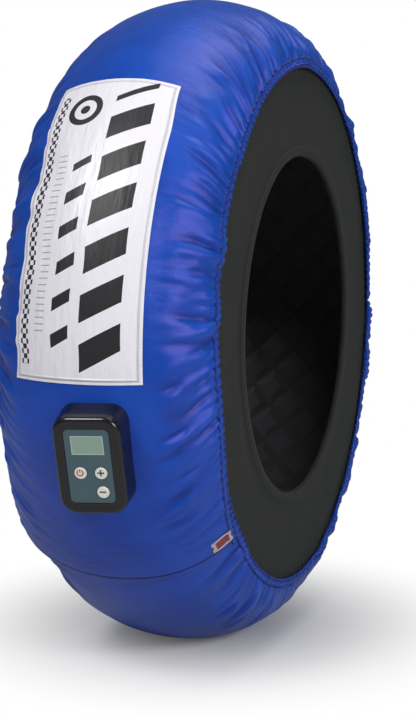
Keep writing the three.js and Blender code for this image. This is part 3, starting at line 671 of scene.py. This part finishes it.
def fold_height(angle, t, hem):
    """Millimetres that the cloth stands over its plain face, at a grid column."""
    run = np.radians(angle) * FOLD_RADIUS
    up = up_from_hem(t, hem)
    total = 0.0
    for side in (-1, 1):
        here = smooth(side * t, -6, 14)
        seed = side_seed(side)
        gather = 2.6 * (ridges(run, up, seed) - 0.62) * np.exp(-((up / 11) ** 1.3))
        middle = 3.6 * (crest(run / 15, up / 74, seed + 1) - 0.45)
        middle = middle * smooth(up, 0, 10) * (1 - smooth(up, 34, 86))
        broad = 5.2 * (crest(run / 34, up / 130 + 7, seed + 2) - 0.5)
        broad = broad * smooth(up, 0, 26) * (1 - smooth(up, 50, 100))
        pinch = creases(run, up, CREASES_ON_A_SIDE, seed + 3) * (1 - smooth(up, 48, 84))
        slack = bulges(run, seed + 4) * np.exp(-((up / 17) ** 2))
        total = total + here * (gather + middle + broad + slack + 1.25 * pinch)
    soft = 1.6 * noise_field(run / 95, t / 26 + 40, 5) + 0.6 * noise_field(run / 42, t / 12 + 40, 6)
    under_label = window_of(angle, 398, 404, 450, 457) * smooth(up, 50, 66)
    held = mix(0.75, 0.3, smooth(t, 0, 24)) * under_label
    height = profile(angle, LIVELY_MARKS, LIVELY) * total * (1 - held) + soft
    floor = -0.8 - 4 * (1 - smooth(up, 16, 44))
    return (height + floor + np.sqrt((height - floor) ** 2 + 1.2)) / 2


def cover_spot(angle, t, out):
    """A point out millimetres over the cover's plain face, never under the floor."""
    y, r = section(t, out + tongue_rise(angle, t))
    foot = section(t, 0)[1]
    spots = on_ring(angle, y, r, foot)
    spots[..., 2] = np.maximum(spots[..., 2], 0)
    return spots


def calm(angle):
    """The tongue's hem lies flatter than the rest, because its tape pulls it."""
    return 1 - 0.55 * smooth(angle, 452, 470)


print("gathers on a hem: about", round(math.radians(TONGUE_END - STRIP_START) * FOLD_RADIUS / GATHER_WIDTH))

# %% [markdown]
# The grid's rows go on past the stitching: over the hem, round its edge and back under, so the
# cloth shows no raw edge. The hem's edge is scalloped by the same gathers.

# %% Cover
COLUMNS, ROWS = 1180, 61
columns = np.concatenate([np.linspace(STRIP_START, TONGUE_END, COLUMNS), [490.25, 490.3, 490.1, 488]])
end_depth = np.concatenate([np.zeros(COLUMNS), [0.6, 1.8, 2.4, 2.6]])
rows_in = np.linspace(-1, 1, ROWS)
rows_in = np.sign(rows_in) * (1 - (1 - np.abs(rows_in)) ** 1.25)
HEM_ROWS = [(1.8, 0), (4, 0), (6, 0.1), (7.6, 0.5), (8.2, 1.6), (7.6, 2.9), (5, 3.6), (0.5, 3.8)]
angle = columns[:, None]
hem = hem_angle(angle)
t = rows_in[None, :] * hem
height = fold_height(angle, t, hem)
true_angle = leaning(angle, t, hem)
middle = cover_spot(true_angle, t, height - end_depth[:, None])


def hem_rows(side):
    """Rows over the casing, from the stitching outwards and back under."""
    rows = []
    edge = np.radians(hem[:, 0])
    way = np.stack([HALF_WIDTH * np.cos(edge), -HEIGHT * np.sin(edge)], -1)
    way /= np.linalg.norm(way, axis=-1, keepdims=True)
    run = np.radians(columns) * FOLD_RADIUS
    gather = ridges(run, 0 * run, side_seed(side))
    for along, depth in HEM_ROWS:
        ruffle = (gather - 0.6) * (2.4 * calm(columns)) * (1 - depth / 5)
        slack = bulges(run, side_seed(side) + 4) * calm(columns) * (1 - depth / 4)
        out = ruffle + slack - depth - end_depth + tongue_rise(columns, side * hem[:, 0]) + 0.6
        y, r = section(hem[:, 0], out)
        reach = along + 0.9 * (gather - 0.6) * (along / CASING_WIDTH)
        y = side * (y + way[:, 0] * reach)
        rows.append(on_ring(columns, y, r + way[:, 1] * reach))
    return np.stack(rows, 1)


spots = np.concatenate([hem_rows(-1)[:, ::-1], middle, hem_rows(1)], 1)
past = np.array([along for along, _ in HEM_ROWS])
inner = (1 - np.abs(rows_in)) * HALF_ARC
to_hem = np.concatenate([-past[::-1], inner, -past])[None, :] + 0 * angle
across = np.concatenate([-HALF_ARC - past[::-1], rows_in * HALF_ARC, HALF_ARC + past])[None, :] + 0 * angle
run = np.radians(angle) * FOLD_RADIUS + 0 * across
hem_angles = np.repeat(columns[:, None], len(HEM_ROWS), 1)
to_end = np.radians(TONGUE_END - np.concatenate([hem_angles, true_angle, hem_angles], 1)) * CROWN_RADIUS
# Painted shade: how far a point lies under its neighbours round the ring; this darkens the nylon in its
# fold valleys, and the hem rows get a small fixed amount.
hem_valley_shade = np.full((len(columns), len(HEM_ROWS)), 0.15)
nearby = height.copy()
for shift in (-7, -4, 4, 7):
    nearby = nearby + np.roll(height, shift, 0)
valley = np.clip((nearby / 5 - height) / 2.2, 0, 1)
valley = np.concatenate([hem_valley_shade, valley, hem_valley_shade], 1)
maps = {
    "cloth": pattern(run, across),
    "edges": pattern(to_end, to_hem),
    "valleys": pattern(valley, 0 * valley),
}
cover = lay_cloth("cover_cloth", spots, maps, nylon)
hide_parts("outer_cover")
print("cover area", round(cloth_area(cover), 3), "m2, cut to", round(0.3 * 2.2, 3))

# %% [markdown]
# ## Label and tag
#
# The label lies on the cover and follows its folds, which are calmer under it. Its far edge isn't
# quite straight, because the cloth under it is drawn in towards the hem.

# %% Label
LABEL_START, LABEL_END, LABEL_WIDTH = 401.8, 453.3, 128
angle = np.linspace(LABEL_START, LABEL_END, 190)[:, None]
k = np.linspace(0, 1, 90)[None, :]
far_edge = 36.2 + 3.0 * noise_line(angle / 5, 31) - 1.8
near_edge = -31.8 + 2.4 * smooth(angle, 412, 402)
t = mix(far_edge, near_edge, k)
height = fold_height(upright(angle, t, HEM_ANGLE), t, HEM_ANGLE) + 0.7 + 0.4 * smooth(t, 10, 30)
spots = cover_spot(angle, t, height)
down = np.radians(angle - LABEL_START) * CROWN_RADIUS
over = k * LABEL_WIDTH
maps = {
    "cloth": pattern(down, over),
    "edges": pattern(np.minimum(down, down.max() - down), np.minimum(over, LABEL_WIDTH - over)),
}
panel = lay_cloth("label_cloth", spots, maps, label, flip=True)
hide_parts("printed_label")

# %% Tag
k = np.linspace(0, 1, 14)[:, None]
v = np.linspace(0, 1, 8)[None, :]
angle = mix(486.4, 488.6, v) - 0.5 * k
t = -mix(55, 68.5, k) + 0 * v
height = 2.2 + 1.4 * np.sin(np.pi * k) * v + 0.8 * v
spots = cover_spot(angle, t, height)
maps = {"cloth": pattern(k * 18, v * 9)}
label_tag = lay_cloth("tag_cloth", spots, maps, tag)
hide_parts("woven_tag")

# %% [markdown]
# ## Side panels
#
# Each panel is a flat ring of stretch fabric. It goes under the cover's hem, where the gathers
# press ripples into it, and its inner edge is folded back and sewn twice.

# %% Side panels
PANEL_OUTLINE = np.array([
    (92.5, 289.5), (97.5, 283), (101.0, 277), (102.4, 270), (102.5, 260), (102.5, 248),
    (102.5, 236), (102.5, 224), (102.5, 212), (102.5, 201), (102.6, 193), (103.2, 191),
    (104.1, 190), (104.4, 187), (104.4, 183), (104.3, 179.6), (103.4, 178.2), (101.4, 177.8),
    (99.0, 178.2), (98.0, 180), (98.0, 188), (99.4, 191), (99.5, 201), (99.5, 224),
    (99.5, 248), (99.4, 270), (98, 276), (94.5, 281.5), (90.5, 286), (92.5, 289.5),
])


def side_panel(name, side, node, seed):
    """A panel from its outline, given as half widths and radii, with ripples pressed into it."""
    angle = np.linspace(STRIP_START, STRIP_START + 360, 721)[:, None]
    width = PANEL_OUTLINE[:, 0][None, :]
    r = PANEL_OUTLINE[:, 1][None, :]
    run = np.radians(angle) * 270
    near_hem = smooth(r, 246, 270) * (1 - smooth(r, 272, 284))
    gathers = ridges(run, 0 * run, side_seed(side))
    swell = noise_field(run / 60, r / 22, seed)
    ring_crease = noise_line(r / 7 + 2 * noise_line(angle / 40, seed + 1), seed + 2)
    ripple = near_hem * (gathers - 0.8)
    ripple = ripple + 1.6 * (swell - 0.5) * smooth(r, 188, 215) * (1 - smooth(r, 268, 280))
    ripple = ripple + 0.5 * (ring_crease - 0.5) * smooth(r, 192, 205) * (1 - smooth(r, 262, 275))
    edge_wave = 1.2 * (noise_line(angle / 9, seed + 4) - 0.5) * (1 - smooth(r, 178, 200))
    y = side * (width + ripple)
    spots = on_ring(angle, y, r + edge_wave)
    spots[-1] = spots[0]
    maps = {"cloth": pattern(run, r - 178)}
    piece = lay_cloth(name, spots, maps, neoprene, close=True)
    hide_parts(node)


side_panel("near_panel_cloth", -1, "near_side_panel", 200)
side_panel("far_panel_cloth", 1, "far_side_panel", 300)

# %% [markdown]
# ## Inner layers
#
# The lining is the innermost layer, and it shows through the ring's opening. The batting and the
# heating cloth lie between it and the cover. They are simple bands that follow the same section,
# each with its own thickness.

# %% Bands inside the cover
def band(name, widths, depth, thickness, ease, paint, node):
    """A closed band over some section angles, its top depth millimetres under the cover's face."""
    angle = np.linspace(STRIP_START + 0.6, RING_END, 361)[:, None]
    t = np.concatenate([widths, widths[::-1], widths[:1]])[None, :]
    outer = np.ones(len(widths))
    place = np.concatenate([outer * 0, outer, [0]])[None, :]
    sunk = depth(t) + place * thickness
    a = np.radians(t)
    y = (HALF_WIDTH - sunk) * np.sin(a)
    r = SECTION_CENTRE_RADIUS + (HEIGHT - sunk) * np.cos(a)
    foot = SECTION_CENTRE_RADIUS + HEIGHT * np.cos(a)
    spots = on_ring(angle, y, r, foot, ease)
    run = np.radians(angle) * 326 + 0 * t
    maps = {"cloth": pattern(run, np.radians(t) * 95)}
    piece = lay_cloth(name, spots, maps, paint, close=True)
    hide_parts(node)
    return piece


def tapered(t):
    return 11.8 - 3.8 * smooth(np.abs(t), 50, 63)


def even(depth):
    return lambda t: depth + 0 * t


wide, middling, narrow = np.linspace(-63, 63, 43), np.linspace(-50, 50, 25), np.linspace(-34, 34, 15)
inside = band("lining_cloth", wide, tapered, 1.2, 0.8, lining, "inner_lining")
print("lining", round(cloth_area(inside) / 2, 3), "m2")
warm = band("heating_cloth", narrow, even(10.3), 1.2, 0.6, heater, "heating_element")
print("heating cloth", round(cloth_area(warm) / 2, 3), "m2")
pad = band("batting_pad", middling, even(1.6), 8.4, 0.4, batting, "insulation_batting")

# %% [markdown]
# ## Controller and hidden parts
#
# The controller's front is a frame with a soft round rim, and the keypad lies sunk in it. It is
# made as by hand: a block gets round corners and a round rim, its face is stepped in and down,
# and then the middle is opened. The other hard parts have their true shape in the CAD model, so
# they stay and only get their finish.

# %% Front frame of the controller
def pick(mesh, mode, test):
    """Select the faces or edges whose points all pass a test, in edit mode."""
    bpy.ops.object.mode_set(mode="EDIT")
    bpy.ops.mesh.select_mode(type=mode)
    bpy.ops.mesh.select_all(action="DESELECT")
    bpy.ops.object.mode_set(mode="OBJECT")
    for part in (mesh.polygons if mode == "FACE" else mesh.edges):
        part.select = test([mesh.vertices[v].co * 1000 for v in part.vertices])
    bpy.ops.object.mode_set(mode="EDIT")


def all_at(level):
    """A test that all points lie at one height, in millimetres."""
    return lambda spots: all(abs(p.z - level) < 0.01 for p in spots)


FRAME_LOW, FRAME_HIGH = 19.3, 28.0
FRAME_WIDTH, FRAME_LENGTH = 64, 96
clear_selection()
bpy.ops.mesh.primitive_cube_add(size=1)
front = bpy.context.object
front.name = front.data.name = "front_frame"
mesh = front.data
bpy.ops.object.mode_set(mode="EDIT")
block = (FRAME_WIDTH / 1000, FRAME_LENGTH / 1000, (FRAME_HIGH - FRAME_LOW) / 1000)
bpy.ops.transform.resize(value=block)
bpy.ops.transform.translate(value=(0, 0, (FRAME_HIGH + FRAME_LOW) / 2000))
pick(mesh, "EDGE", lambda spots: (spots[0] - spots[1]).xy.length < 0.01)
bpy.ops.mesh.bevel(offset=0.016, segments=12, affect="EDGES")
pick(mesh, "FACE", all_at(FRAME_HIGH))
bpy.ops.transform.resize(value=((FRAME_WIDTH - 2) / FRAME_WIDTH, (FRAME_LENGTH - 2) / FRAME_LENGTH, 1))
pick(mesh, "EDGE", all_at(FRAME_HIGH))
bpy.ops.mesh.bevel(offset=0.0036, segments=6, affect="EDGES")
pick(mesh, "FACE", all_at(FRAME_HIGH))
bpy.ops.mesh.inset(thickness=0.0016, depth=0)
bpy.ops.mesh.inset(thickness=0.0008, depth=-0.0003)
bpy.ops.mesh.inset(thickness=0.0034, depth=-0.0007)
bpy.ops.transform.resize(value=(42.8 / 43.2, 72.8 / 75.2, 1))
bpy.ops.mesh.inset(thickness=0.0001, depth=-0.0025)
bpy.ops.mesh.delete(type="FACE")
pick(mesh, "FACE", all_at(FRAME_LOW))
bpy.ops.mesh.inset(thickness=0.0025, depth=0)
bpy.ops.mesh.delete(type="FACE")
pick(mesh, "EDGE", lambda spots: False)
bpy.ops.mesh.select_non_manifold(extend=False, use_boundary=True)
bpy.ops.mesh.bridge_edge_loops()
bpy.ops.mesh.select_all(action="SELECT")
bpy.ops.mesh.remove_doubles(threshold=1e-6)
bpy.ops.mesh.normals_make_consistent(inside=False)
bpy.ops.object.mode_set(mode="OBJECT")
corners = [v.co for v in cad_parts["front_case"].data.vertices]
reach = {}
for key, way in (("x", box_right), ("y", box_up), ("z", box_out)):
    along = [way.dot(c) for c in corners]
    reach[key] = max(along) - FRAME_HIGH / 1000 if key == "z" else (max(along) + min(along)) / 2
box_origin = box_right * reach["x"] + box_up * reach["y"] + box_out * reach["z"]
turn_box = Matrix((box_right, box_up, box_out)).transposed().to_4x4()
front.matrix_world = Matrix.Translation(box_origin) @ turn_box
bpy.context.view_layer.update()
bpy.ops.object.transform_apply(location=True, rotation=True, scale=True)
bpy.ops.object.shade_smooth_by_angle(angle=math.radians(50))
front.data.materials.append(case.material)
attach(front, "warmer")
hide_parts("front_case")
print("front frame:", len(front.data.polygons), "faces")

# %% Finishes of the CAD parts
finishes = {
    "rear_case": case, "front_case": case, "keypad_overlay": overlay, "display_window": window,
    "display_module": window, "circuit_board": board, "relay": case, "terminal_block": board,
    "backing_plate": case, "cord_gland": case, "gland_nut": case, "near_hem_elastic": elastic,
    "far_hem_elastic": elastic, "hook_tape": tape, "loop_tape": tape, **buttons,
}
for node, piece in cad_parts.items():
    piece.data.materials.clear()
    piece.data.materials.append(finishes.get(node, steel).material)
print("CAD parts with a finish:", len(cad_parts))

# %% [markdown]
# ## Studio
#
# Three soft lamps light the cloth plainly: one high on the left, one lower on the right and a
# weaker one above. Away from the warmer the pale floor turns into the white of the background.

# %% Floor and world
clear_selection()
bpy.ops.mesh.primitive_plane_add(size=14, location=(0, 0, 0))
floor = bpy.context.object
floor.name = "floor"
ground = Paint("pale_floor", linear(196, 196, 198), 0.9)
glow = ground.node("ShaderNodeEmission", 0, {}, {"Color": (1, 1, 1, 1), "Strength": 1.0})
away = ground.node("ShaderNodeVectorMath", "Value", {"operation": "LENGTH"}, {0: ground.place()})
seen = ground.node("ShaderNodeLightPath", "Is Camera Ray")
plain = Wire(ground, ground.shader.outputs[0])
lit = ground.node("ShaderNodeMixShader", 0, {}, {0: away.fade(0.02, 0.34) * seen, 1: plain, 2: glow})
ground.tree.links.new(lit.socket, ground.tree.nodes["Material Output"].inputs["Surface"])
floor.data.materials.append(ground.material)

world = bpy.data.worlds.new("studio")
bpy.context.scene.world = world
world.use_nodes = True
tree = world.node_tree
back = tree.nodes["Background"]
back.inputs["Color"].default_value = (0.9, 0.92, 0.95, 1)
back.inputs["Strength"].default_value = 0.15
white = tree.nodes.new("ShaderNodeBackground")
white.inputs["Color"].default_value = (1, 1, 1, 1)
rays = tree.nodes.new("ShaderNodeLightPath")
either = tree.nodes.new("ShaderNodeMixShader")
tree.links.new(rays.outputs["Is Camera Ray"], either.inputs[0])
tree.links.new(back.outputs[0], either.inputs[1])
tree.links.new(white.outputs[0], either.inputs[2])
tree.links.new(either.outputs[0], tree.nodes["World Output"].inputs["Surface"])
print("floor:", floor.name, "and world:", world.name)

# %% [markdown]
# The lamps are wide squares that all look at the ring's centre, so that no fold gets a hard edge.

# %% Lamps

RING_CENTRE = Vector((0, 0, 0.33))


def lamp(name, place, size, power):
    clear_selection()
    bpy.ops.object.light_add(type="AREA", location=place)
    light = bpy.context.object
    light.name = name
    light.data.size = size
    light.data.energy = power
    light.rotation_mode = "QUATERNION"
    light.rotation_quaternion = (RING_CENTRE - Vector(place)).to_track_quat("-Z", "Y")


lamp("key_lamp", (-1.7, 0.6, 2.2), 0.7, 38)
lamp("fill_lamp", (-1.3, -2.3, 1.4), 0.7, 46)
lamp("top_lamp", (0.6, -0.5, 2.5), 1.0, 15)
bpy.context.scene.view_settings.view_transform = "Standard"
